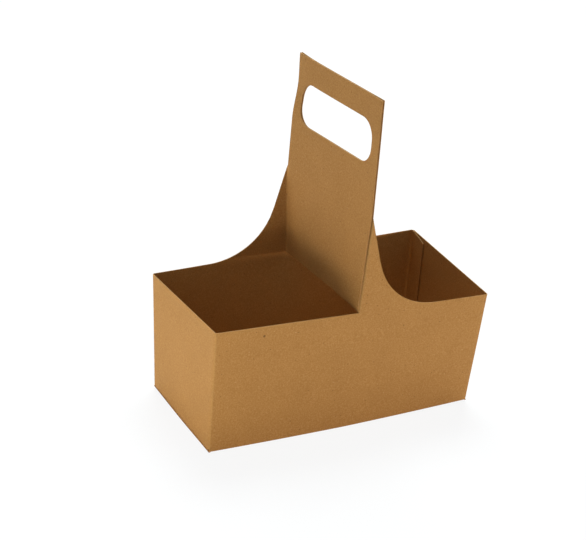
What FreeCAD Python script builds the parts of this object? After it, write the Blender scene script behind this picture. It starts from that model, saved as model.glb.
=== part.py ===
import FreeCAD, Part

import math
import os

import Sketcher

# A two-cup carrier folded from one sheet of kraft board, in millimetres.
# X runs along the long walls, Y across them and Z up, with the front wall at -Y and the underside
# at Z 0. The form repeats after half a turn about Z: the front wall carries one layer of the
# upright divider on its right half, and the back wall carries the other layer on its left half.

# Driving dimensions: alias, value and meaning
SIZES = [
    ("board", 0.5, "thickness of the sheet"),
    ("fold_radius", 1.2, "outside radius of every fold"),
    ("base_length", 196, "outside, along X at the underside"),
    ("base_width", 90, "outside, along Y at the underside"),
    ("rim_length", 202, "outside, along X at the rim"),
    ("rim_width", 100, "outside, along Y at the rim"),
    ("rim_height", 87, "rim above the underside, in the middle of each wall"),
    ("rim_rise", 4.8, "how far the two high rim corners stand above the two low ones"),
    ("shoulder_top", 152, "where the shoulder's cut meets the divider's fold"),
    ("shoulder_run", 22, "where the straight part of that cut would meet the rim"),
    ("shoulder_round", 52, "radius that leads the shoulder into the rim"),
    ("handle_top", 231, "top edge of the handle"),
    ("free_edge_gap", 1.2, "from a layer's free edge to the outside of the opposite wall"),
    ("hole_length", 82, "hand hole along Y"),
    ("hole_height", 29, "hand hole along Z"),
    ("hole_round", 12, "corner radius of the hand hole"),
    ("bar_height", 17, "board above the hand hole"),
    ("seam_flap", 17, "glued flap inside the right end wall, from the back corner"),
    ("seam_taper", 3, "slope of the seam flap's two ends over its width"),
    ("seam_foot", 3, "lowest point of the seam flap"),
    ("end_flap", 30, "base flaps of the end walls"),
    ("back_flap", 25, "base flap of the back wall"),
    ("flap_taper", 5, "slope of an end flap's front edge over its length"),
    ("flap_gap", 1, "slit between two base flaps at a corner"),
    ("panel_gap", 1.2, "from the base panel's free edges to the outside of the walls"),
]

NODE = "folded_carrier"

# How far a cutting shape reaches past what it cuts, and how close two coordinates count as equal
REACH = 5.0
TOUCH = 0.01

HALF_TURN = FreeCAD.Placement(FreeCAD.Vector(0, 0, 0), FreeCAD.Rotation(FreeCAD.Vector(0, 0, 1), 180))

doc = FreeCAD.newDocument("cup_carrier")


def make_sheet():
    sheet = doc.addObject("Spreadsheet::Sheet", "sizes")
    for row, (alias, value, meaning) in enumerate(SIZES, start=1):
        sheet.set("A%d" % row, meaning)
        sheet.set("B%d" % row, str(value))
        sheet.setAlias("B%d" % row, alias)
    doc.recompute()
    return sheet


# Expressions in terms of the sheet

def size(alias):
    return "sizes." + alias


def half_outside(side, height):
    # Half of the outside length or width of the leaning walls at a height.
    base = size("base_" + side)
    rim = size("rim_" + side)
    return "(%s + (%s - %s) * (%s) / sizes.rim_height) / 2" % (base, rim, base, height)


# Common expressions: half the rim's width, the two high rim corners, the fall of a long wall's rim
# per millimetre, and where the flat base begins beside the folds
HALF_RIM = "sizes.rim_width / 2"
HIGH_CORNER = "(sizes.rim_height + sizes.rim_rise / 2)"
RIM_SLOPE = "(sizes.rim_rise / sizes.rim_length)"
FLAT_X = "(sizes.base_length / 2 - sizes.fold_radius)"
FLAT_Y = "(sizes.base_width / 2 - sizes.fold_radius)"


def front_rim(x):
    # Height of the front wall's rim at x: it falls towards +X.
    return "(sizes.rim_height - %s * (%s))" % (RIM_SLOPE, x)


# Helpers

def origin_plane(body, role):
    for feature in body.Origin.OriginFeatures:
        if feature.Role == role:
            return feature
    raise ValueError("no plane " + role)


def new_body(name):
    return doc.addObject("PartDesign::Body", name)


def outline(body, name, role, points, offset=None):
    # A closed sketch of straight lines, each corner held at its two expressions.
    sketch = body.newObject("Sketcher::SketchObject", name)
    sketch.AttachmentSupport = [(origin_plane(body, role), "")]
    sketch.MapMode = "FlatFace"
    if offset:
        sketch.setExpression("AttachmentOffset.Base.z", offset)
    count = len(points)
    start = [FreeCAD.Vector(math.cos(2 * math.pi * i / count), math.sin(2 * math.pi * i / count), 0)
             for i in range(count)]
    for i in range(count):
        sketch.addGeometry(Part.LineSegment(start[i], start[(i + 1) % count]), False)
    for i in range(count):
        sketch.addConstraint(Sketcher.Constraint("Coincident", i, 2, (i + 1) % count, 1))
    for i, (across, along) in enumerate(points):
        x_index = sketch.addConstraint(Sketcher.Constraint("DistanceX", -1, 1, i, 1, start[i].x))
        y_index = sketch.addConstraint(Sketcher.Constraint("DistanceY", -1, 1, i, 1, start[i].y))
        sketch.setExpression("Constraints[%d]" % x_index, across)
        sketch.setExpression("Constraints[%d]" % y_index, along)
    return sketch


def pad(body, name, sketch, length, middle=False):
    feature = body.newObject("PartDesign::Pad", name)
    feature.Profile = sketch
    feature.setExpression("Length", length)
    if middle:
        feature.SideType = "Symmetric"
    doc.recompute()
    return feature


def round_edges(body, name, base, chosen, radius):
    # Fillets the edges of the base feature for which chosen(edge) is true.
    names = ["Edge%d" % (i + 1) for i, edge in enumerate(base.Shape.Edges) if chosen(edge)]
    if not names:
        raise ValueError("no edges for " + name)
    feature = body.newObject("PartDesign::Fillet", name)
    feature.Base = (base, names)
    feature.setExpression("Radius", radius)
    doc.recompute()
    return feature


def box(name, low, high):
    feature = doc.addObject("Part::Box", name)
    for axis, start, end, extent in zip("xyz", low, high, ("Length", "Width", "Height")):
        feature.setExpression("Placement.Base." + axis, start)
        feature.setExpression(extent, "(%s) - (%s)" % (end, start))
    return feature


def cut(name, base, tool):
    feature = doc.addObject("Part::Cut", name)
    feature.Base = base
    feature.Tool = tool
    return feature


def fuse(name, shapes):
    feature = doc.addObject("Part::MultiFuse", name)
    feature.Shapes = shapes
    feature.Refine = True
    return feature


def common(name, first, second):
    feature = doc.addObject("Part::Common", name)
    feature.Base = first
    feature.Tool = second
    return feature


def value(alias):
    return float(sheet.get(alias))


def near(first, second):
    return abs(first - second) < TOUCH


# The tray: four leaning walls, with the flaps of three of them on the base panel

def tray_form(name, inset, right_inset, floor):
    # A solid as long and wide as the walls, rounded at its upright and lower edges.
    body = new_body(name)
    wedge = body.newObject("PartDesign::AdditiveWedge", name + "_block")
    wedge.AttachmentSupport = [(origin_plane(body, "XZ_Plane"), "")]
    wedge.MapMode = "FlatFace"
    for mark, height in (("", floor), ("2", HIGH_CORNER)):
        half_length = half_outside("length", height)
        half_width = half_outside("width", height)
        wedge.setExpression("X%smin" % mark, "%s - %s" % (inset, half_length))
        wedge.setExpression("X%smax" % mark, "%s - (%s)" % (half_length, right_inset))
        wedge.setExpression("Z%smin" % mark, "%s - %s" % (inset, half_width))
        wedge.setExpression("Z%smax" % mark, "%s - %s" % (half_width, inset))
    wedge.setExpression("Ymin", floor)
    wedge.setExpression("Ymax", HIGH_CORNER)
    doc.recompute()
    top = wedge.Shape.BoundBox.ZMax

    def folded(edge):
        return not near(edge.BoundBox.ZMin, top)
    round_edges(body, name + "_folds", wedge, folded, "sizes.fold_radius - " + inset)
    return body


def walls(name, right_inset):
    outside = tray_form(name + "_outside", "0", right_inset, "sizes.board")
    inside = tray_form(name + "_inside", "sizes.board", right_inset + " + sizes.board", "2 * sizes.board")
    return cut(name, outside, inside)


def base_panel():
    # The base, hinged on the front wall, with a short length of that wall above the fold.
    lap = "(3 * sizes.fold_radius)"
    foot = "-(sizes.base_width / 2)"
    wall = "-(%s)" % half_outside("width", lap)
    inner_foot = "sizes.board - %s" % half_outside("width", "sizes.board")
    free = "sizes.base_width / 2 - sizes.panel_gap"
    body = new_body("base_panel")
    section = outline(body, "base_section", "YZ_Plane", [
        (wall, lap), (foot, "0"), (free, "0"), (free, "sizes.board"),
        (inner_foot, "sizes.board"), (wall + " + sizes.board", lap)])
    plate = pad(body, "base_plate", section, "sizes.base_length - 2 * sizes.panel_gap", middle=True)
    fold_end = value("fold_radius") - value("base_width") / 2

    def lengthwise(edge, height):
        bounds = edge.BoundBox
        return bounds.YMax < fold_end and near(bounds.ZMin, height) and near(bounds.ZMax, height)

    def outer_fold(edge):
        return lengthwise(edge, 0)

    def inner_fold(edge):
        return lengthwise(edge, value("board"))
    outer = round_edges(body, "base_fold_outside", plate, outer_fold, size("fold_radius"))
    round_edges(body, "base_fold_inside", outer, inner_fold, "sizes.fold_radius - sizes.board")
    return body


def floor_opening():
    # Everything between the three base flaps, with a slit at each back corner.
    end = "(%s - sizes.end_flap)" % FLAT_X
    front = "-%s" % FLAT_Y
    front_free = "sizes.flap_taper - %s" % FLAT_Y
    slit_end = "%s - sizes.flap_gap" % FLAT_X
    slit_side = "%s - sizes.flap_gap" % FLAT_Y
    end_root = "%s - sizes.flap_gap - sizes.end_flap" % FLAT_Y
    back = "%s - sizes.back_flap" % FLAT_Y
    back_end = "%s - sizes.flap_gap - sizes.back_flap" % FLAT_X
    right = [(FLAT_X, front), (end, front_free), (end, end_root), (FLAT_X, slit_side),
             (slit_end, FLAT_Y), (back_end, back)]
    left = [("-(%s)" % x, y) for x, y in reversed(right)]
    body = new_body("floor_opening")
    shape = outline(body, "floor_outline", "XY_Plane", right + left, offset="sizes.board")
    pad(body, "floor_depth", shape, "2 * sizes.board")
    return body


def front_fold_space():
    # Room for the base panel's fold, which overlaps the corners by a fold radius at each end.
    end = "(%s - sizes.fold_radius)" % FLAT_X
    return box("front_fold_space",
               ("-" + end, "-sizes.base_width / 2 - %g" % REACH, "0"),
               (end, "sizes.fold_radius - " + FLAT_Y, "3 * sizes.fold_radius"))


def seam_cut():
    # Frees the back right corner of the end wall, so that the end wall stops at the fold.
    low = size("seam_foot")
    high = HIGH_CORNER + " + %g" % REACH
    edge_low = half_outside("width", low)
    edge_high = half_outside("width", high)
    body = new_body("seam_cut")
    shape = outline(body, "seam_cut_outline", "YZ_Plane", [
        (edge_low + " - sizes.fold_radius", low), (edge_low + " + %g" % REACH, low),
        (edge_high + " + %g" % REACH, high), (edge_high + " - sizes.fold_radius", high)], offset=FLAT_X)
    pad(body, "seam_cut_depth", shape, "sizes.rim_length / 2 - %s + %g" % (FLAT_X, REACH))
    return body


def seam_zone():
    # The part of the inner walls that is the seam flap, with its fold and the wall beside it.
    free = "%s - sizes.seam_flap" % HALF_RIM
    corner = "%s + %g" % (HALF_RIM, REACH)
    corner_rise = "sizes.seam_taper * (sizes.seam_flap + %g) / sizes.seam_flap" % REACH
    top_free = "%s - sizes.seam_taper" % HIGH_CORNER
    body = new_body("seam_zone")
    shape = outline(body, "seam_outline", "YZ_Plane", [
        (free, "sizes.seam_foot + sizes.seam_taper"), (HALF_RIM, "sizes.seam_foot"),
        (corner, "sizes.seam_foot"), (corner, "%s + %s" % (top_free, corner_rise)),
        (free, top_free)], offset=FLAT_X + " - sizes.seam_flap")
    pad(body, "seam_depth", shape, "sizes.seam_flap + %g" % (2 * REACH))
    return body


def rim_space():
    # Everything above the rim: a twisted top, straight along each wall.
    reach_x = "(sizes.rim_length / 2 + %g)" % REACH
    reach_y = "(%s + %g)" % (HALF_RIM, REACH)
    spread = "(1 + %g / (%s))" % (REACH, HALF_RIM)
    top = HIGH_CORNER + " + %g" % REACH
    body = new_body("rim_space")
    sketches = []
    for name, sign in (("rim_front", "-"), ("rim_back", "+")):
        # On an XZ plane an offset towards +Z of the sketch moves it to -Y.
        offset = "%s%s" % ("" if sign == "-" else "-", reach_y)
        left = "sizes.rim_height - (%s1) * %s * %s * %s" % (sign, RIM_SLOPE, spread, reach_x)
        right = "sizes.rim_height + (%s1) * %s * %s * %s" % (sign, RIM_SLOPE, spread, reach_x)
        sketches.append(outline(body, name, "XZ_Plane", [
            ("-" + reach_x, left), (reach_x, right), (reach_x, top), ("-" + reach_x, top)], offset=offset))
    doc.recompute()
    loft = body.newObject("PartDesign::AdditiveLoft", "rim_loft")
    loft.Profile = sketches[0]
    loft.Sections = [sketches[1]]
    loft.Ruled = True
    return body


# One layer of the divider, hinged on the front wall's right half

def shoulder_space(side):
    # The air above the shoulder: a straight slanting cut that runs into the rim on a large arc.
    outer = "(%s / 2 - %g)" % (size("rim_length"), REACH)
    foot = front_rim("sizes.shoulder_run")
    slant = "(sizes.shoulder_top - %s) / sizes.shoulder_run" % foot
    above = "sizes.handle_top + %g" % (2 * REACH)
    body = new_body(side + "_shoulder_space")
    shape = outline(body, side + "_shoulder_outline", "XZ_Plane", [
        ("-%g" % REACH, "sizes.shoulder_top + %g * %s" % (REACH, slant)), ("sizes.shoulder_run", foot),
        (outer, front_rim(outer)), (outer, above), ("-%g" % REACH, above)],
        offset="%s - sizes.fold_radius" % HALF_RIM)
    block = pad(body, side + "_shoulder_depth", shape, "sizes.fold_radius + %g" % REACH)
    run = value("shoulder_run")

    def foot_edge(edge):
        bounds = edge.BoundBox
        across = bounds.YLength > REACH and near(bounds.XLength, 0)
        return across and near(bounds.XMin, run)
    round_edges(body, side + "_shoulder_round", block, foot_edge, size("shoulder_round"))
    return body


def folded_layer(side):
    # Plan of the shoulder, the upright fold and the layer, as tall as the handle.
    outside = "-" + HALF_RIM
    inside = "sizes.board - " + HALF_RIM
    shoulder_end = "sizes.rim_length / 2 - %g" % (2 * REACH)
    free = "%s - sizes.free_edge_gap" % HALF_RIM
    body = new_body(side + "_layer_blank")
    plan = outline(body, side + "_layer_plan", "XY_Plane", [
        (shoulder_end, outside), ("0", outside), ("0", free), ("sizes.board", free),
        ("sizes.board", inside), (shoulder_end, inside)], offset="sizes.rim_height")
    block = pad(body, side + "_layer_block", plan, "sizes.handle_top - sizes.rim_height")
    board = value("board")
    half = value("rim_width") / 2

    def upright(edge, x, y):
        bounds = edge.BoundBox
        standing = near(bounds.XLength, 0) and near(bounds.YLength, 0)
        return standing and near(bounds.XMin, x) and near(bounds.YMin, y)

    def outer_fold(edge):
        return upright(edge, 0, -half)

    def inner_fold(edge):
        return upright(edge, board, board - half)
    outer = round_edges(body, side + "_fold_outside", block, outer_fold, size("fold_radius"))
    round_edges(body, side + "_fold_inside", outer, inner_fold, "sizes.fold_radius - sizes.board")
    return body


def layer_foot(side):
    # The layer was cut from above the plain half of its wall, so its lower edge has the rim's slope.
    start = "sizes.fold_radius - " + HALF_RIM
    end = HALF_RIM
    low = "sizes.rim_height - %g" % REACH
    body = new_body(side + "_layer_foot")
    shape = outline(body, side + "_foot_outline", "YZ_Plane", [
        (start, low), (end, low), (end, "sizes.rim_height + %s * sizes.rim_width" % RIM_SLOPE),
        (start, "sizes.rim_height")])
    pad(body, side + "_foot_depth", shape, "%g" % (2 * REACH), middle=True)
    return body


def wall_shoulder(side, space):
    # The strip of the front wall that runs on above its rim line into the shoulder.
    strip = box(side + "_strip",
                ("0", "-%s - %g" % (HALF_RIM, REACH), "sizes.rim_height - %g" % REACH),
                ("sizes.rim_length / 2 - %g" % (2 * REACH), "sizes.fold_radius - " + HALF_RIM,
                 "sizes.rim_height"))
    return cut(side + "_strip_cut", strip, space)


def divider_side(side, placement):
    space = shoulder_space(side)
    strip = wall_shoulder(side, space)
    shaped = cut(side + "_layer_shaped", folded_layer(side), space)
    layer = cut(side + "_layer", shaped, layer_foot(side))
    for piece in (strip, layer):
        piece.Placement = placement
    return strip, layer


def hand_hole():
    half = "sizes.hole_length / 2"
    top = "sizes.handle_top - sizes.bar_height"
    low = "sizes.handle_top - sizes.bar_height - sizes.hole_height"
    body = new_body("hand_hole")
    shape = outline(body, "hole_outline", "YZ_Plane", [
        ("-" + half, low), (half, low), (half, top), ("-" + half, top)])
    block = pad(body, "hole_depth", shape, "%g" % (2 * REACH), middle=True)

    def corner(edge):
        return edge.BoundBox.XLength > REACH
    round_edges(body, "hole_corners", block, corner, size("hole_round"))
    return body


def build_carrier():
    main_walls = walls("main_walls", "0")
    seam_walls = walls("seam_walls", "sizes.board")
    opened = cut("walls_without_floor", main_walls, floor_opening())
    hinged = cut("walls_without_front_fold", opened, front_fold_space())
    parted = cut("walls_without_corner", hinged, seam_cut())
    seam = common("seam_flap_form", seam_walls, seam_zone())
    blank = fuse("tray_blank", [parted, seam, base_panel()])
    front_strip, front_layer = divider_side("front", FreeCAD.Placement())
    back_strip, back_layer = divider_side("back", HALF_TURN)
    above_front = cut("rim_space_front", rim_space(), front_strip)
    above = cut("rim_space_both", above_front, back_strip)
    tray = cut("tray", blank, above)
    layers = fuse("layers", [front_layer, back_layer])
    handle = cut("handle", layers, hand_hole())
    carrier = fuse(NODE, [tray, handle])
    carrier.Label = NODE
    return carrier


def check(carrier):
    failed = [item.Name for item in doc.Objects if "Invalid" in item.State or "Error" in item.State]
    if failed:
        raise RuntimeError("failed objects: " + ", ".join(failed))
    for item in doc.Objects:
        if hasattr(item, "Shape") and item.isDerivedFrom("Part::Boolean"):
            if item.Shape.isNull() or not item.Shape.Solids:
                raise RuntimeError("empty result: " + item.Name)
        if item.isDerivedFrom("Part::Boolean") and item.TypeId == "Part::Cut":
            if item.Shape.Volume > item.Base.Shape.Volume - 0.01:
                raise RuntimeError("cut nothing: " + item.Name)
    shape = carrier.Shape
    if shape.isNull() or not shape.isValid() or len(shape.Solids) != 1:
        raise RuntimeError("the carrier is not one valid solid")


sheet = make_sheet()
carrier = build_carrier()
doc.recompute()
check(carrier)
os.makedirs("parts", exist_ok=True)
carrier.Shape.exportStep("parts/%s.step" % carrier.Label)
print(carrier.Label, "volume", round(carrier.Shape.Volume, 1), "box", carrier.Shape.BoundBox)
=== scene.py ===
import bisect
import itertools
import math

import bmesh
import bpy
from mathutils import Matrix, Vector, noise
from mathutils.geometry import delaunay_2d_cdt


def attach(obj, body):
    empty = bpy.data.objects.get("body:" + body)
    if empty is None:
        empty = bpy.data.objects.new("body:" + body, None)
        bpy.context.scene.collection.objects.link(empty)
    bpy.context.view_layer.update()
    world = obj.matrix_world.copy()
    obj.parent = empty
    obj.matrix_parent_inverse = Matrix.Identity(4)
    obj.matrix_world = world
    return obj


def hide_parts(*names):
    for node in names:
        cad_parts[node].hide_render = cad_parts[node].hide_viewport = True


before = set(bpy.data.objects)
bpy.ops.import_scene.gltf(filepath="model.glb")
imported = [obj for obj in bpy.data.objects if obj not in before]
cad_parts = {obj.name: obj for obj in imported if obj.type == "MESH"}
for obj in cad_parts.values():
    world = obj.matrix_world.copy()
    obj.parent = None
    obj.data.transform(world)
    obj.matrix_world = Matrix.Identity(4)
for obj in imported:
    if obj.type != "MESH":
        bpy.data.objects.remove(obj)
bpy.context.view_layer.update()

# A two-cup carrier folded from one sheet of kraft board. The CAD node is the nominal form. The
# piece made here is the same sheet as it stands in the photograph: its folds spring back a little,
# so that the divider is turned about the vertical, its long walls bow out and its base is twisted.

# Sizes of the folded sheet, in millimetres, and a millimetre in metres
MM = 0.001
BOARD = 0.5
FOLD = 1.2
BASE_LENGTH = 196.0
BASE_WIDTH = 90.0
RIM_LENGTH = 202.0
RIM_WIDTH = 100.0
RIM_HEIGHT = 87.0
RIM_RISE = 4.8
SHOULDER_TOP = 152.0
SHOULDER_RUN = 22.0
SHOULDER_ROUND = 52.0
HANDLE_TOP = 231.0
FREE_EDGE_GAP = 0.8
HOLE_LENGTH = 82.5
HOLE_HEIGHT = 29.2
HOLE_ROUND = 12.0
BAR_HEIGHT = 16.8
SEAM_FLAP = 17.0
SEAM_TAPER = 3.0
SEAM_FOOT = 1.9
END_FLAP = 30.0
BACK_FLAP = 25.0
FLAP_TAPER = 5.0
FLAP_GAP = 1.0

# How the folds have sprung back: the divider's front edge stands this far to +X of its place, and
# its back edge as far to -X, at the rim, at the shoulder's top and at the handle's top
FOOT_SHIFT = 0.64
SHOULDER_SHIFT = 5.05
HANDLE_SHIFT = 4.4

# Half of the divider's width at the shoulder's top and at the handle's top
SHOULDER_HALF = 49.4
HANDLE_HALF = 49.2

# Mesh spacing along the sheet and across the divider's foot, and steps round a fold and a corner of
# the hand hole
STEP = 3.0
FOOT_STEP = 1.0
FOLD_STEPS = 6
HOLE_STEPS = 12

# A difference too small to matter
TINY = 1e-6


def lerp(low, high, part):
    return low + (high - low) * part


def ease(low, high, value):
    part = min(max((value - low) / (high - low), 0.0), 1.0)
    return part * part * (3 - 2 * part)


def smooth_table(table, value):
    # A smooth curve through the few places given as (value, result).
    places = [place for place, _ in table]
    i = min(max(bisect.bisect_right(places, value), 1), len(table) - 1)
    (low, first), (high, second) = table[i - 1], table[i]
    return lerp(first, second, ease(low, high, value))


def half_length(z):
    return lerp(BASE_LENGTH, RIM_LENGTH, z / RIM_HEIGHT) / 2


def half_width(z):
    return lerp(BASE_WIDTH, RIM_WIDTH, z / RIM_HEIGHT) / 2


def rim_height(x, y):
    return RIM_HEIGHT + RIM_RISE / 2 * (x / (RIM_LENGTH / 2)) * (y / (RIM_WIDTH / 2))


def shoulder_edge(x):
    # The shoulder's cut over the front rim, x from the divider's fold: a straight part, then an arc.
    foot = rim_height(SHOULDER_RUN, -RIM_WIDTH / 2)
    lean = math.atan2(SHOULDER_RUN, SHOULDER_TOP - foot)
    rim_tilt = math.atan2(RIM_RISE, RIM_LENGTH)
    tangent = SHOULDER_ROUND * math.tan((math.pi / 2 - lean - rim_tilt) / 2)
    arc_top = SHOULDER_RUN - tangent * math.sin(lean)
    arc_end = SHOULDER_RUN + tangent * math.cos(rim_tilt)
    if x <= arc_top:
        return lerp(SHOULDER_TOP, foot, x / SHOULDER_RUN)
    if x >= arc_end:
        return rim_height(x, -RIM_WIDTH / 2)
    end_z = foot - tangent * math.sin(rim_tilt)
    centre_x = arc_end + SHOULDER_ROUND * math.sin(rim_tilt)
    centre_z = end_z + SHOULDER_ROUND * math.cos(rim_tilt)
    return centre_z - math.sqrt(max(SHOULDER_ROUND ** 2 - (x - centre_x) ** 2, 0.0))


# The divider's lean at a height: where the front fold's outer corner stands

def fold_shift(z):
    if z < SHOULDER_TOP:
        return lerp(FOOT_SHIFT, SHOULDER_SHIFT, (z - RIM_HEIGHT) / (SHOULDER_TOP - RIM_HEIGHT))
    return lerp(SHOULDER_SHIFT, HANDLE_SHIFT, (z - SHOULDER_TOP) / (HANDLE_TOP - SHOULDER_TOP))


def fold_half(z):
    if z < RIM_HEIGHT:
        return half_width(z)
    if z < SHOULDER_TOP:
        return lerp(RIM_WIDTH / 2, SHOULDER_HALF, ease(RIM_HEIGHT, SHOULDER_TOP, z))
    return lerp(SHOULDER_HALF, HANDLE_HALF, (z - SHOULDER_TOP) / (HANDLE_TOP - SHOULDER_TOP))


def divider_frame(z):
    # Front corner, direction along the layer, and its normal towards +X.
    corner = Vector((fold_shift(z), -fold_half(z)))
    along = (-2 * corner).normalized()
    normal = Vector((along.y, -along.x))
    return corner, along, normal


def fold_centre(z):
    corner, along, normal = divider_frame(z)
    reach = FOLD * (1 - normal.y) / along.y
    return corner + along * reach + normal * FOLD


# Points closer than this become one
WELD = 0.035


class Sheet:
    # Collects patches of the board's middle surface and welds them where they meet.

    def __init__(self):
        self.points = []
        self.faces = []
        self.folds = []
        self.index = {}

    def add(self, point, fold=0.0):
        point = Vector(point)
        cell = [math.floor(c / WELD) for c in point]
        for near in itertools.product(*[(c - 1, c, c + 1) for c in cell]):
            for number in self.index.get(near, []):
                if (self.points[number] - point).length < WELD:
                    return number
        self.index.setdefault(tuple(cell), []).append(len(self.points))
        self.points.append(point)
        self.folds.append(fold)
        return len(self.points) - 1

    def face(self, corners):
        kept = [c for i, c in enumerate(corners) if c != corners[i - 1]]
        if len(set(kept)) > 2:
            self.faces.append(kept)

    def grid(self, columns, fold=0.0):
        # columns: equal lists of points, side by side.
        ids = [[self.add(point, fold) for point in column] for column in columns]
        for left, right in zip(ids, ids[1:]):
            for low_left, high_left, low_right, high_right in zip(left, left[1:], right, right[1:]):
                self.face([low_left, low_right, high_right, high_left])


def spaced(low, high, step=STEP):
    count = max(1, math.ceil(abs(high - low) / step))
    return [lerp(low, high, i / count) for i in range(count + 1)]


def turned(points):
    # The same points after half a turn about Z.
    return [Vector((-p.x, -p.y, p.z)) for p in points]


# The walls, as columns from the base fold to the rim

WALL_ROWS = 30
# The middle surface's radius in a fold, and how far the pressed crease stands in from it
FOLD_RADIUS = FOLD - BOARD / 2
CREASE_BEAD = 0.28
# Where the divider's fold starts along the front rim, and where the rim's straight part ends
FOLD_START = FOOT_SHIFT + FOLD
RIM_END = half_length(RIM_HEIGHT) - FOLD
LONG_STOPS = (spaced(-RIM_END, -FOLD_START) + spaced(-FOLD_START, FOLD_START, FOOT_STEP)[1:-1]
              + spaced(FOLD_START, RIM_END))
LONG_STATIONS = [x / RIM_END for x in LONG_STOPS]
SHORT_STATIONS = [y / (RIM_WIDTH / 2) for y in spaced(-RIM_WIDTH / 2, RIM_WIDTH / 2)]


def column(place, low, top_drop=0.0):
    # place(z) gives x and y of the middle surface.
    x, y = place(RIM_HEIGHT)
    top = rim_height(x, y) - top_drop
    rows = []
    for i in range(WALL_ROWS + 1):
        z = lerp(low, top, i / WALL_ROWS)
        px, py = place(z)
        rows.append(Vector((px, py, z)))
    return rows


def long_place(station, side):
    # The seam flap's fold lies one board inside the right end wall, so the back wall is that much
    # shorter.
    inset = BOARD * max(station, 0.0) if side > 0 else 0.0

    def place(z):
        return (station * (half_length(z) - FOLD) - inset, side * (half_width(z) - BOARD / 2))
    return place


def short_place(station, side):
    def place(z):
        return (side * (half_length(z) - BOARD / 2), station * (half_width(z) - FOLD))
    return place


def corner_place(side_x, side_y, part, inset=0.0):
    # part runs from 0 on the long wall to 1 on the end wall. The crease leaves a bead inside the fold.
    angle = part * math.pi / 2
    radius = FOLD_RADIUS - CREASE_BEAD * math.sin(part * math.pi) ** 2

    def place(z):
        centre_x = half_length(z) - inset - FOLD
        centre_y = half_width(z) - FOLD
        return (side_x * (centre_x + radius * math.sin(angle)),
                side_y * (centre_y + radius * math.cos(angle)))
    return place


# The walls' lower ends: the front wall turns into the lowest panel, the others into flaps on top of it
FRONT_LOW = FOLD
OTHER_LOW = FOLD + BOARD

# The seam flap's gap to the end wall: glued close by its fold, a little open at its free edge
SEAM_AIR = 0.06
SEAM_LIFT = 0.45


def add_walls(sheet):
    sheet.grid([column(long_place(s, -1), FRONT_LOW) for s in LONG_STATIONS])
    sheet.grid([column(long_place(s, 1), OTHER_LOW) for s in LONG_STATIONS])
    sheet.grid([column(short_place(s, -1), OTHER_LOW) for s in SHORT_STATIONS])
    sheet.grid([column(short_place(s, 1), OTHER_LOW) for s in SHORT_STATIONS])
    arc = [i / FOLD_STEPS for i in range(FOLD_STEPS + 1)]
    for side_x in (-1, 1):
        sheet.grid([column(corner_place(side_x, -1, a), lerp(FRONT_LOW, OTHER_LOW, a)) for a in arc],
                   fold=1.0)
    sheet.grid([column(corner_place(-1, 1, a), OTHER_LOW) for a in arc], fold=1.0)
    sheet.grid([column(corner_place(1, 1, a, BOARD + SEAM_AIR * a), lerp(OTHER_LOW, SEAM_FOOT, a))
                for a in arc], fold=1.0)


def add_seam_flap(sheet):
    # The flap's middle surface lies one and a half boards inside the end wall's outer face.
    flap = []
    for along in spaced(FOLD, SEAM_FLAP):
        part = (along - FOLD) / (SEAM_FLAP - FOLD)

        def place(z, along=along, air=SEAM_AIR + SEAM_LIFT * part ** 2):
            return (half_length(z) - 1.5 * BOARD - air, half_width(z) - along)
        flap.append(column(place, SEAM_FOOT + SEAM_TAPER * part, SEAM_TAPER * part))
    sheet.grid(flap)


# The base: the front wall's panel, then the other walls' flaps on top of it

FLAT_X = half_length(0) - FOLD
FLAT_Y = half_width(0) - FOLD
# The panel's tabs end this far inside the walls' outer faces.
TAB_INSET = 0.1
# The back flap is this share shorter at its fold, so that it doesn't touch the end flap's corner.
FLAP_RELIEF = 0.002


def under(edge, low):
    # The fold below a wall, from the wall to the flat, as distances out from the middle and heights.
    # edge is how far out the wall's outer face is at its lower end.
    arc = [i / FOLD_STEPS * math.pi / 2 for i in range(FOLD_STEPS + 1)]
    return [(edge - BOARD / 2 - FOLD_RADIUS * (1 - math.cos(a)), low - FOLD_RADIUS * math.sin(a))
            for a in arc]


def add_panel(sheet):
    # It reaches under the corners with a narrow tab on either side.
    columns = []
    for s in LONG_STATIONS:
        x = s * (half_length(FRONT_LOW) - FOLD)
        columns.append([Vector((x, -y, z)) for y, z in under(half_width(FRONT_LOW), FRONT_LOW)])
    sheet.grid(columns, fold=1.0)
    panel_rows = spaced(columns[0][-1].y, FLAT_Y)
    panel_stops = [fold[-1].x for fold in columns]
    sheet.grid([[Vector((x, y, BOARD / 2)) for y in panel_rows] for x in panel_stops])
    tab_rows = [TAB_INSET - half_width(0)] + panel_rows + [half_width(0) - TAB_INSET]
    for x in (panel_stops[0], panel_stops[-1]):
        tab_end = math.copysign(half_length(0) - TAB_INSET, x)
        sheet.grid([[Vector((stop, y, BOARD / 2)) for y in tab_rows] for stop in sorted((x, tab_end))])


def add_back_flap(sheet):
    columns = []
    for s in LONG_STATIONS:
        x = long_place(s, 1)(OTHER_LOW)[0]
        columns.append([Vector((x * (1 - FLAP_RELIEF * i / FOLD_STEPS), y, z))
                        for i, (y, z) in enumerate(under(half_width(OTHER_LOW), OTHER_LOW))])
    sheet.grid(columns, fold=1.0)
    flap = []
    for s, fold in zip(LONG_STATIONS, columns):
        root = fold[-1]
        rows = []
        for part in spaced(0, 1, STEP / BACK_FLAP):
            x = lerp(root.x, s * (FLAT_X - FLAP_GAP - BACK_FLAP), part)
            rows.append(Vector((x, root.y - part * BACK_FLAP, root.z)))
        flap.append(rows)
    sheet.grid(flap)


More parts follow.
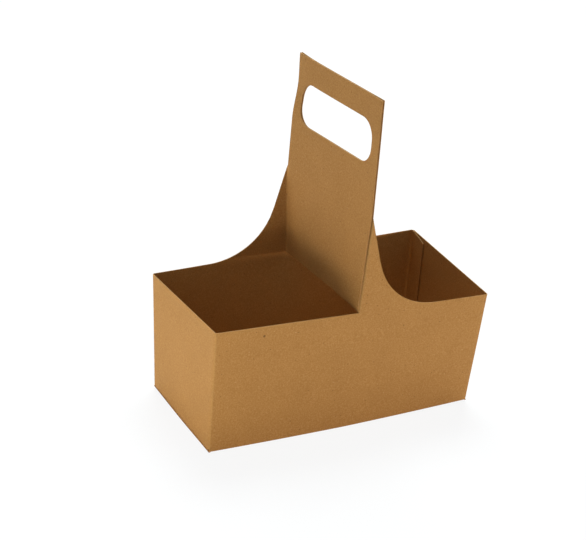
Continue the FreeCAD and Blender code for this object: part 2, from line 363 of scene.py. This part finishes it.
def add_end_flap(sheet, side):
    columns = []
    for s in SHORT_STATIONS:
        y = short_place(s, side)(OTHER_LOW)[1]
        columns.append([Vector((side * x, y, z)) for x, z in under(half_length(OTHER_LOW), OTHER_LOW)])
    sheet.grid(columns, fold=1.0)
    flap = []
    for s, fold in zip(SHORT_STATIONS, columns):
        root = fold[-1]
        free_y = lerp(FLAP_TAPER - FLAT_Y, FLAT_Y - FLAP_GAP - END_FLAP, (s + 1) / 2)
        flap.append([Vector((root.x - side * part * END_FLAP, lerp(root.y, free_y, part), root.z))
                     for part in spaced(0, 1, STEP / END_FLAP)])
    sheet.grid(flap)


def add_base(sheet):
    add_panel(sheet)
    add_back_flap(sheet)
    for side in (-1, 1):
        add_end_flap(sheet, side)


# One shoulder with its fold and its layer of the divider, as it stands on the front wall

SHOULDER_ROWS = 26
# Half of the air between the two layers, reached this far from the fold's corner
LAYER_AIR = 0.12
LAYER_AIR_REACH = 4 * FOLD
# The same at a layer's free edge, low and high, and the share of the width where it starts to grow
FREE_AIR_LOW = 0.25
FREE_AIR_HIGH = 0.85
FREE_AIR_START = 0.8


def shoulder_stations():
    return [x - FOOT_SHIFT for x in LONG_STOPS if x >= FOLD_START - TINY]


def wall_rim(x):
    return rim_height(x, -RIM_WIDTH / 2)


def shoulder_columns():
    # The foot of each column stands on the wall's rim. Past the shoulder's end a column has no height.
    columns = []
    for x in shoulder_stations():
        foot = wall_rim(x + FOOT_SHIFT)
        top = max(shoulder_edge(x), foot)
        rows = []
        for i in range(SHOULDER_ROWS + 1):
            z = lerp(foot, top, i / SHOULDER_ROWS)
            lift = max(z, RIM_HEIGHT)
            px = fold_centre(lift).x + x - FOLD if z > foot else x + FOOT_SHIFT
            rows.append(Vector((px, BOARD / 2 - fold_half(z), z)))
        columns.append(rows)
    return columns


def fold_column(part, foot, top):
    # part runs from 0 on the shoulder to 1 on the layer.
    rows = []
    for i in range(SHOULDER_ROWS + 1):
        z = lerp(foot, top, i / SHOULDER_ROWS)
        lift = max(z, RIM_HEIGHT)
        centre = fold_centre(lift)
        normal = divider_frame(lift)[-1]
        end = math.atan2(-normal.y, -normal.x) % (2 * math.pi) - 2 * math.pi
        angle = lerp(-math.pi / 2, end, part)
        rows.append(Vector((centre.x + FOLD_RADIUS * math.cos(angle),
                            centre.y + FOLD_RADIUS * math.sin(angle), z)))
    return rows


def layer_point(along_layer, z):
    # A point of the front layer's middle surface. along_layer is measured from the fold's corner on
    # the flat layer, and distance is the same place on the turned one.
    corner, along, normal = divider_frame(max(z, RIM_HEIGHT))
    width = 2 * corner.length
    stretch = width / RIM_WIDTH
    reach = FOLD * (1 - normal.y) / along.y
    distance = lerp(reach, width, (along_layer - FOLD) / (RIM_WIDTH - FOLD))
    air = LAYER_AIR * ease(FOLD, LAYER_AIR_REACH, along_layer)
    free_air = lerp(FREE_AIR_LOW, FREE_AIR_HIGH, ease(RIM_HEIGHT, SHOULDER_TOP, z))
    air += (free_air - LAYER_AIR) * ease(RIM_WIDTH * FREE_AIR_START, RIM_WIDTH, along_layer)
    place = corner + along * distance + normal * (BOARD / 2 + air * stretch)
    return Vector((place.x, place.y, z))


def layer_foot(along_layer):
    return RIM_HEIGHT + RIM_RISE * along_layer / RIM_LENGTH


def rounded_hole():
    # The hand hole's outline in the layer's own plane, clockwise.
    top = HANDLE_TOP - BAR_HEIGHT
    low = top - HOLE_HEIGHT
    middle = RIM_WIDTH / 2
    corners = [(middle + HOLE_LENGTH / 2, top, 0), (middle + HOLE_LENGTH / 2, low, -90),
               (middle - HOLE_LENGTH / 2, low, -180), (middle - HOLE_LENGTH / 2, top, -270)]
    outline = []
    for x, z, turn in corners:
        toward_x = HOLE_ROUND if x < middle else -HOLE_ROUND
        toward_z = HOLE_ROUND if z < top else -HOLE_ROUND
        for i in range(HOLE_STEPS + 1):
            angle = math.radians(turn + 90 - 90 * i / HOLE_STEPS)
            outline.append((x + toward_x + HOLE_ROUND * math.cos(angle),
                            z + toward_z + HOLE_ROUND * math.sin(angle)))
    return subdivide(outline)


def subdivide(outline):
    # Adds points along the long sides of a closed outline.
    result = []
    for (x0, z0), (x1, z1) in zip(outline, outline[1:] + outline[:1]):
        pieces = max(1, math.ceil(math.hypot(x1 - x0, z1 - z0) / STEP))
        result += [(lerp(x0, x1, i / pieces), lerp(z0, z1, i / pieces)) for i in range(pieces)]
    return result


def inside(point, outline):
    x, z = point
    odd = False
    for (x0, z0), (x1, z1) in zip(outline, outline[1:] + outline[:1]):
        if (z0 > z) != (z1 > z) and x < x0 + (z - z0) * (x1 - x0) / (z1 - z0):
            odd = not odd
    return odd


# How clear of the outlines the inner points stay, in mesh steps, and how close two points are one
EDGE_CLEARANCE = 0.6
SAME_POINT = 1e-5


def distance_to(point, outline):
    return min(math.hypot(point[0] - x, point[1] - z) for x, z in outline)


def layer_outline():
    foot = wall_rim(FOLD_START)
    hinge = [(FOLD, lerp(foot, SHOULDER_TOP, i / SHOULDER_ROWS)) for i in range(SHOULDER_ROWS + 1)]
    free = RIM_WIDTH - FREE_EDGE_GAP
    rest = subdivide([(FOLD, SHOULDER_TOP), (FOLD, HANDLE_TOP), (free, HANDLE_TOP),
                      (free, layer_foot(free)), (FOLD, foot)])
    return hinge + rest[1:rest.index((FOLD, foot))]


def layer_triangles():
    # The flat layer with its hole, as points and triangles in its own plane.
    outer = layer_outline()
    hole = rounded_hole()
    clearance = EDGE_CLEARANCE * STEP
    inner = []
    for along in spaced(FOLD, RIM_WIDTH - FREE_EDGE_GAP):
        for z in spaced(RIM_HEIGHT, HANDLE_TOP):
            point = (along, z)
            clear = distance_to(point, outer) > clearance and distance_to(point, hole) > clearance
            if clear and inside(point, outer) and not inside(point, hole):
                inner.append(point)
    points = [Vector(p) for p in outer + hole + inner]
    loops = [list(range(len(outer))), list(range(len(outer), len(outer) + len(hole)))]
    edges = [(loop[i - 1], loop[i]) for loop in loops for i in range(len(loop))]
    made = delaunay_2d_cdt(points, edges, [], 0, SAME_POINT)
    places = [tuple(p) for p in made[0]]
    triangles = []
    for face in made[2]:
        middle = (sum(places[i][0] for i in face) / 3, sum(places[i][1] for i in face) / 3)
        if inside(middle, outer) and not inside(middle, hole):
            triangles.append(list(face))
    return places, triangles


def add_divider(sheet):
    # The front shoulder with its layer, then the same after half a turn for the back one.
    shoulder = shoulder_columns()
    foot = wall_rim(FOLD_START)
    arc = []
    for i in range(FOLD_STEPS + 1):
        part = i / FOLD_STEPS
        flat_x = FOLD * (1 - math.sin(part * math.pi / 2))
        arc.append(fold_column(part, foot, shoulder_edge(flat_x)))
    places, triangles = layer_triangles()
    layer = [layer_point(along, z) for along, z in places]
    for turn in (lambda points: points, turned):
        sheet.grid([turn(rows) for rows in shoulder])
        sheet.grid([turn(rows) for rows in arc], fold=1.0)
        ids = [sheet.add(point) for point in turn(layer)]
        for triangle in triangles:
            sheet.face([ids[i] for i in triangle])


# The slight bends of the whole sheet as it stands

# The S bend of the divider's back edge: height, and how far the edge stands to +X there. The bend
# grows from the divider's middle to that edge with this power of the distance.
BACK_EDGE_BEND = [(150, -0.9), (186, -0.9), (212, 1.7), (231, 1.0)]
BACK_EDGE_POWER = 3
# How far the long walls bow out at the base, and how far from their outer face the base follows them
WALL_BOW = 1.6
BOW_START = 8.0
# How far the front right and back left corners of the base are off the floor
BASE_TWIST = 1.3
# The long walls' waviness, which only presses them inward: length and depth of the waves, the noise
# below which they are pressed in, and the height from which up the waves are whole
WAVE_LENGTH = 38.0
WAVE_DEPTH = 0.25
WAVE_LEVEL = 0.5
WAVE_WHOLE_FROM = 14.0


def settle(point):
    x, y, z = point
    if z > RIM_HEIGHT:
        across = min(max(y / (RIM_WIDTH / 2), 0.0), 1.0)
        x += smooth_table(BACK_EDGE_BEND, z) * across ** BACK_EDGE_POWER * ease(RIM_HEIGHT, SHOULDER_TOP, z)
    # The base stands on two opposite corners, and the other two are a little off the floor.
    corner = x * y / (BASE_LENGTH / 2 * BASE_WIDTH / 2)
    z += BASE_TWIST * max(-corner, 0.0) * max(1 - z / RIM_HEIGHT, 0.0)
    fill = max(1 - (x / (BASE_LENGTH / 2)) ** 2, 0.0)
    side = -1 if y < 0 else 1
    near_wall = ease(BASE_WIDTH / 2 - BOW_START, BASE_WIDTH / 2 - 2 * FOLD, abs(y))
    y += side * WALL_BOW * fill * near_wall * (1 - ease(0, RIM_HEIGHT, z))
    wave = min(noise.noise(Vector((x, y, z)) / WAVE_LENGTH) - WAVE_LEVEL, 0.0)
    y += side * WAVE_DEPTH * wave * ease(2 * BOARD, WAVE_WHOLE_FROM, z) * near_wall
    return Vector((x, y, z))


# The board's edges are drawn sharp above this angle.
SHARP_ANGLE = math.radians(40)


def middle_mesh():
    sheet = Sheet()
    add_walls(sheet)
    add_seam_flap(sheet)
    add_base(sheet)
    add_divider(sheet)
    mesh = bpy.data.meshes.new("kraft_sheet")
    mesh.from_pydata([settle(p) * MM for p in sheet.points], [], sheet.faces)
    fold = mesh.attributes.new("fold", "FLOAT", "POINT")
    fold.data.foreach_set("value", sheet.folds)
    mesh.validate()
    make_consistent(mesh)
    return mesh


def make_consistent(mesh):
    # Drops points that no face uses, and turns all faces the same way.
    work = bmesh.new()
    work.from_mesh(mesh)
    bmesh.ops.delete(work, geom=[v for v in work.verts if not v.link_faces], context="VERTS")
    bmesh.ops.recalc_face_normals(work, faces=work.faces)
    work.to_mesh(mesh)
    work.free()


def build_carrier():
    mesh = middle_mesh()
    middle = bpy.data.objects.new("kraft_middle", mesh)
    bpy.context.scene.collection.objects.link(middle)
    mesh.materials.append(board_material("kraft_board", OUTER_TINT))
    mesh.materials.append(board_material("kraft_board_inside_painted_light", INNER_PAINTED_LIGHT_TINT))
    mesh.materials.append(edge_material())
    thick = middle.modifiers.new("board", "SOLIDIFY")
    thick.thickness = BOARD * MM
    thick.offset = 0
    # An even offset would make spikes of the few faces that are very small.
    thick.use_even_offset = False
    # The inner face takes the second material, a copy of the board with painted light in its tint, and the
    # cut edges the third.
    thick.material_offset = 1
    thick.material_offset_rim = 2
    thick.use_quality_normals = True
    evaluated = middle.evaluated_get(bpy.context.evaluated_depsgraph_get())
    solid = bpy.data.meshes.new_from_object(evaluated)
    solid.shade_smooth()
    solid.set_sharp_from_angle(angle=SHARP_ANGLE)
    piece = bpy.data.objects.new("kraft_carrier", solid)
    bpy.context.scene.collection.objects.link(piece)
    bpy.data.objects.remove(middle)
    return piece


# Materials

SPECULAR = 0.2
BOARD_ROUGHNESS = 0.78
EDGE_ROUGHNESS = 0.85
FLOOR_ROUGHNESS = 0.9


def new_material(name, roughness):
    material = bpy.data.materials.new(name)
    material.use_nodes = True
    tree = material.node_tree
    shader = tree.nodes["Principled BSDF"]
    shader.inputs["Roughness"].default_value = roughness
    shader.inputs["Specular IOR Level"].default_value = SPECULAR
    return material, tree, shader


def noise_node(tree, source, scale, detail, stretch=(1, 1, 1)):
    mapping = tree.nodes.new("ShaderNodeMapping")
    mapping.inputs["Scale"].default_value = stretch
    tree.links.new(source, mapping.inputs["Vector"])
    texture = tree.nodes.new("ShaderNodeTexNoise")
    texture.inputs["Scale"].default_value = scale
    texture.inputs["Detail"].default_value = detail
    tree.links.new(mapping.outputs["Vector"], texture.inputs["Vector"])
    return texture.outputs["Fac"]


def remap_node(tree, source, ends):
    # ends: two values of the source, then what comes out at each.
    remap = tree.nodes.new("ShaderNodeMapRange")
    for name, number in zip(("From Min", "From Max", "To Min", "To Max"), ends):
        remap.inputs[name].default_value = number
    tree.links.new(source, remap.inputs["Value"])
    return remap.outputs["Result"]


def mix_colour(tree, factor, first, second, ends):
    share = remap_node(tree, factor, ends)
    mix = tree.nodes.new("ShaderNodeMix")
    mix.data_type = "RGBA"
    tree.links.new(share, mix.inputs["Factor"])
    for socket, colour in ((mix.inputs["A"], first), (mix.inputs["B"], second)):
        if hasattr(colour, "links"):
            tree.links.new(colour, socket)
        else:
            socket.default_value = (*colour, 1.0)
    return mix.outputs["Result"]


# Colours of the board, and what they are multiplied by on its outer and inner face. The inner face's tint
# is painted light: it makes the shaded inside a little lighter and redder.
KRAFT = (0.354, 0.178, 0.050)
KRAFT_DARK = (0.297, 0.143, 0.037)
KRAFT_PALE = (0.420, 0.227, 0.074)
FIBRE_DARK = (0.14, 0.066, 0.020)
FLECK_PALE = (0.55, 0.35, 0.16)
CUT_EDGE = (0.38, 0.205, 0.075)
OUTER_TINT = (1.0, 1.0, 1.0)
# Painted light: the inner faces are drawn a little lighter and redder than the board itself.
INNER_PAINTED_LIGHT_TINT = (1.05, 1.02, 1.01)

# Noise scale per metre, and detail
CLOUD = (55, 4)
GRAIN = (950, 3)
FIBRE = (1500, 2)
EDGE_GRAIN = (900, 3)
FIBRE_STRETCH = (1, 1, 0.8)

# Two values of each noise, and the share of the second colour at each
CLOUD_ENDS = (0.3, 0.7, 0.35, 1.0)
GRAIN_ENDS = (0.38, 0.66, 0.0, 0.7)
FIBRE_ENDS = (0.44, 0.64, 0.0, 0.8)
EDGE_ENDS = (0.3, 0.6, 0.2, 1.0)

# Specks in the board: spacing and radius in millimetres, and a shift in metres that scatters them anew
DARK_SPECKS = (5.0, 0.34, 0.1)
PALE_SPECKS = (7.5, 0.30, 0.7)

# Dark flecks seen on the front wall: x, z and radius in millimetres
FRONT_FLECKS = [(-66.7, 81.7, 0.8), (35.3, 83.4, 0.35), (36.8, 71.9, 0.4), (-11.2, 28.0, 0.4)]

# How strongly creases, specks and flecks show. The creases' paler colour is partly rubbed fibres and partly
# a painted highlight along the folds.
CREASE_WEAR_AND_HIGHLIGHT_SHARE = 0.35
DARK_SPECK_SHARE = 0.75
PALE_SPECK_SHARE = 0.5
FLECK_SHARE = 0.9

# A spot is whole up to the first share of its radius and gone at the second.
SPOT_EDGE = (0.8, 1.3)

# The relief of the grain: strength on the faces and on the cut edges, and depth in metres
BOARD_BUMP = 0.25
EDGE_BUMP = 0.3
BUMP_DEPTH = 0.0002


def tinted(colour, tint):
    return tuple(part * share for part, share in zip(colour, tint))


def speck_node(tree, source, spacing, radius, shift):
    # Round specks a spacing apart in all directions, of which the sheet cuts a few: 1 in a speck, 0
    # outside.
    mapping = tree.nodes.new("ShaderNodeMapping")
    mapping.inputs["Location"].default_value = (shift, 2 * shift, 3 * shift)
    tree.links.new(source, mapping.inputs["Vector"])
    cells = tree.nodes.new("ShaderNodeTexVoronoi")
    cells.inputs["Scale"].default_value = 1 / (spacing * MM)
    tree.links.new(mapping.outputs["Vector"], cells.inputs["Vector"])
    return near_node(tree, cells.outputs["Distance"], radius / spacing)


def near_node(tree, distance, radius):
    # 1 in a spot and 0 outside, with a soft edge.
    whole, gone = SPOT_EDGE
    return remap_node(tree, distance, (whole * radius, gone * radius, 1.0, 0.0))


def fleck_node(tree, source, x, z, radius):
    apart = tree.nodes.new("ShaderNodeVectorMath")
    apart.operation = "DISTANCE"
    apart.inputs[1].default_value = (x * MM, -half_width(z) * MM, z * MM)
    tree.links.new(source, apart.inputs[0])
    return near_node(tree, apart.outputs["Value"], radius * MM)


def add_spots(tree, colour, spots, spot_colour, share):
    # spots is 1 in a spot and 0 outside, and share is how much of the spot's colour shows there.
    return mix_colour(tree, spots, colour, spot_colour, (0.0, 1.0, 0.0, share))


def add_bump(tree, shader, height, strength):
    bump = tree.nodes.new("ShaderNodeBump")
    bump.inputs["Strength"].default_value = strength
    bump.inputs["Distance"].default_value = BUMP_DEPTH
    tree.links.new(height, bump.inputs["Height"])
    tree.links.new(bump.outputs["Normal"], shader.inputs["Normal"])


def board_material(name, tint):
    material, tree, shader = new_material(name, BOARD_ROUGHNESS)
    coordinates = tree.nodes.new("ShaderNodeTexCoord").outputs["Object"]
    cloud = noise_node(tree, coordinates, *CLOUD)
    grain = noise_node(tree, coordinates, *GRAIN)
    fibre = noise_node(tree, coordinates, *FIBRE, FIBRE_STRETCH)
    rubbed_and_highlit_fold = tree.nodes.new("ShaderNodeAttribute")
    rubbed_and_highlit_fold.attribute_name = "fold"
    dark, middle, pale = [tinted(shade, tint) for shade in (KRAFT_DARK, KRAFT, KRAFT_PALE)]
    colour = mix_colour(tree, cloud, dark, middle, CLOUD_ENDS)
    colour = mix_colour(tree, grain, colour, pale, GRAIN_ENDS)
    colour = mix_colour(tree, fibre, colour, dark, FIBRE_ENDS)
    # The folds are painted paler: partly rubbed fibres, partly a painted highlight along each fold.
    colour = add_spots(tree, colour, rubbed_and_highlit_fold.outputs["Fac"], pale, CREASE_WEAR_AND_HIGHLIGHT_SHARE)
    dark_specks = speck_node(tree, coordinates, *DARK_SPECKS)
    colour = add_spots(tree, colour, dark_specks, FIBRE_DARK, DARK_SPECK_SHARE)
    pale_specks = speck_node(tree, coordinates, *PALE_SPECKS)
    colour = add_spots(tree, colour, pale_specks, FLECK_PALE, PALE_SPECK_SHARE)
    for x, z, radius in FRONT_FLECKS:
        fleck = fleck_node(tree, coordinates, x, z, radius)
        colour = add_spots(tree, colour, fleck, FIBRE_DARK, FLECK_SHARE)
    tree.links.new(colour, shader.inputs["Base Color"])
    add_bump(tree, shader, grain, BOARD_BUMP)
    return material


def edge_material():
    material, tree, shader = new_material("kraft_cut_edge", EDGE_ROUGHNESS)
    coordinates = tree.nodes.new("ShaderNodeTexCoord").outputs["Object"]
    grain = noise_node(tree, coordinates, *EDGE_GRAIN)
    colour = mix_colour(tree, grain, KRAFT_DARK, CUT_EDGE, EDGE_ENDS)
    tree.links.new(colour, shader.inputs["Base Color"])
    add_bump(tree, shader, grain, EDGE_BUMP)
    return material


# The camera: the photograph's size, focal length and centre of projection in pixels, the sensor's
# width, where the eye stands and how it is turned
PHOTO_WIDTH = 586
PHOTO_HEIGHT = 540
FOCAL_PIXELS = 1711.4
CENTRE_PIXEL = (306.3, 278.6)
SENSOR_WIDTH = 36.0
EYE = Vector((-519.4, -887.6, 580.3)) * MM
HEADING = math.radians(29.766)
LOOK_DOWN = math.radians(25.595)
ROLL = math.radians(5.08)


def add_camera():
    forward = Vector((math.sin(HEADING) * math.cos(LOOK_DOWN), math.cos(HEADING) * math.cos(LOOK_DOWN),
                      -math.sin(LOOK_DOWN)))
    level_right = Vector((math.cos(HEADING), -math.sin(HEADING), 0))
    level_up = level_right.cross(forward)
    right = level_right * math.cos(ROLL) + level_up * math.sin(ROLL)
    up = level_up * math.cos(ROLL) - level_right * math.sin(ROLL)
    data = bpy.data.cameras.new("photo_camera")
    data.sensor_width = SENSOR_WIDTH
    data.lens = FOCAL_PIXELS / PHOTO_WIDTH * SENSOR_WIDTH
    data.shift_x = (PHOTO_WIDTH / 2 - CENTRE_PIXEL[0]) / PHOTO_WIDTH
    data.shift_y = (CENTRE_PIXEL[1] - PHOTO_HEIGHT / 2) / PHOTO_WIDTH
    camera = bpy.data.objects.new("photo_camera", data)
    turn = Matrix((right, up, -forward)).transposed().to_4x4()
    camera.matrix_world = Matrix.Translation(EYE) @ turn
    bpy.context.scene.collection.objects.link(camera)
    bpy.context.scene.camera = camera


# Light, floor and backdrop

def aimed_lamp(name, place, aim, size, watts, colour):
    data = bpy.data.lights.new(name, "AREA")
    data.shape = "RECTANGLE"
    data.size, data.size_y = size
    data.energy = watts
    data.color = colour
    lamp = bpy.data.objects.new(name, data)
    direction = Vector(aim) - Vector(place)
    lamp.matrix_world = Matrix.Translation(place) @ direction.to_track_quat("-Z", "Y").to_matrix().to_4x4()
    lamp.visible_camera = False
    bpy.context.scene.collection.objects.link(lamp)


def white_for_the_view(tree, shader, output, share):
    # The view, gloss and glass see this share of white. The light that reaches the object is not
    # changed.
    paths = tree.nodes.new("ShaderNodeLightPath")
    any_view = paths.outputs["Is Camera Ray"]
    for ray in ("Is Glossy Ray", "Is Transmission Ray"):
        either = tree.nodes.new("ShaderNodeMath")
        either.operation = "MAXIMUM"
        tree.links.new(any_view, either.inputs[0])
        tree.links.new(paths.outputs[ray], either.inputs[1])
        any_view = either.outputs[0]
    scaled = tree.nodes.new("ShaderNodeMath")
    scaled.operation = "MULTIPLY"
    scaled.inputs[1].default_value = share
    tree.links.new(any_view, scaled.inputs[0])
    glow = tree.nodes.new("ShaderNodeEmission" if output.bl_idname == "ShaderNodeOutputMaterial"
                          else "ShaderNodeBackground")
    glow.inputs["Color"].default_value = WHITE
    glow.inputs["Strength"].default_value = 1.0
    mix = tree.nodes.new("ShaderNodeMixShader")
    tree.links.new(scaled.outputs[0], mix.inputs["Fac"])
    tree.links.new(shader, mix.inputs[1])
    tree.links.new(glow.outputs[0], mix.inputs[2])
    tree.links.new(mix.outputs[0], output.inputs["Surface"])


WHITE = (1, 1, 1, 1)
FLOOR_COLOUR = (0.8, 0.8, 0.8, 1)
# How white the floor and the backdrop look. The floor's remaining share shows the object's shadow.
FLOOR_WHITE = 0.9
BACKDROP_WHITE = 1.0
# Half of the floor's side, in metres
FLOOR_HALF = 3.0

SKY = (0.80, 1.0, 1.12, 1)
SKY_LEVEL = 0.255

# Colours of the lamps
WARM = (1.19, 0.95, 0.74)
PALE_WARM = (1.08, 1.0, 0.86)
PALE_COOL = (0.92, 1.01, 1.04)


def add_floor():
    mesh = bpy.data.meshes.new("floor")
    corners = [(x * FLOOR_HALF, y * FLOOR_HALF, 0) for x, y in ((-1, -1), (1, -1), (1, 1), (-1, 1))]
    mesh.from_pydata(corners, [], [(0, 1, 2, 3)])
    material, tree, shader = new_material("pale_floor", FLOOR_ROUGHNESS)
    shader.inputs["Base Color"].default_value = FLOOR_COLOUR
    white_for_the_view(tree, shader.outputs[0], tree.nodes["Material Output"], FLOOR_WHITE)
    mesh.materials.append(material)
    floor = bpy.data.objects.new("floor", mesh)
    bpy.context.scene.collection.objects.link(floor)


def add_world():
    world = bpy.data.worlds.new("studio")
    world.use_nodes = True
    bpy.context.scene.world = world
    tree = world.node_tree
    background = tree.nodes["Background"]
    background.inputs["Color"].default_value = SKY
    background.inputs["Strength"].default_value = SKY_LEVEL
    white_for_the_view(tree, background.outputs[0], tree.nodes["World Output"], BACKDROP_WHITE)


def add_lights():
    # Much of the light comes up from the floor, as on a white table under a high lamp. Each lamp has
    # its place and aim in metres, its width and height, its watts and its colour.
    aimed_lamp("high_softbox", (0.35, 0.7, 1.5), (0, 0, 0), (0.8, 0.8), 41, PALE_COOL)
    aimed_lamp("left_softbox", (-1.3, -0.3, 0.8), (0, 0, 0.1), (0.8, 0.8), 1.65, WARM)
    aimed_lamp("right_strip", (0.9, -1.0, 0.06), (0, 0, 0.05), (0.8, 0.1), 9.2, WARM)
    aimed_lamp("left_strip", (-0.44, -0.1, 0.020), (0, -0.05, 0.02), (0.8, 0.035), 0.92, PALE_WARM)
    aimed_lamp("left_near_strip", (-0.26, -0.08, 0.018), (0, -0.05, 0.06), (0.5, 0.03), 0.15, PALE_WARM)


bpy.context.scene.view_settings.view_transform = "Standard"
add_camera()
add_world()
add_floor()
add_lights()
carrier = build_carrier()
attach(carrier, "root")
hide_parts("folded_carrier")
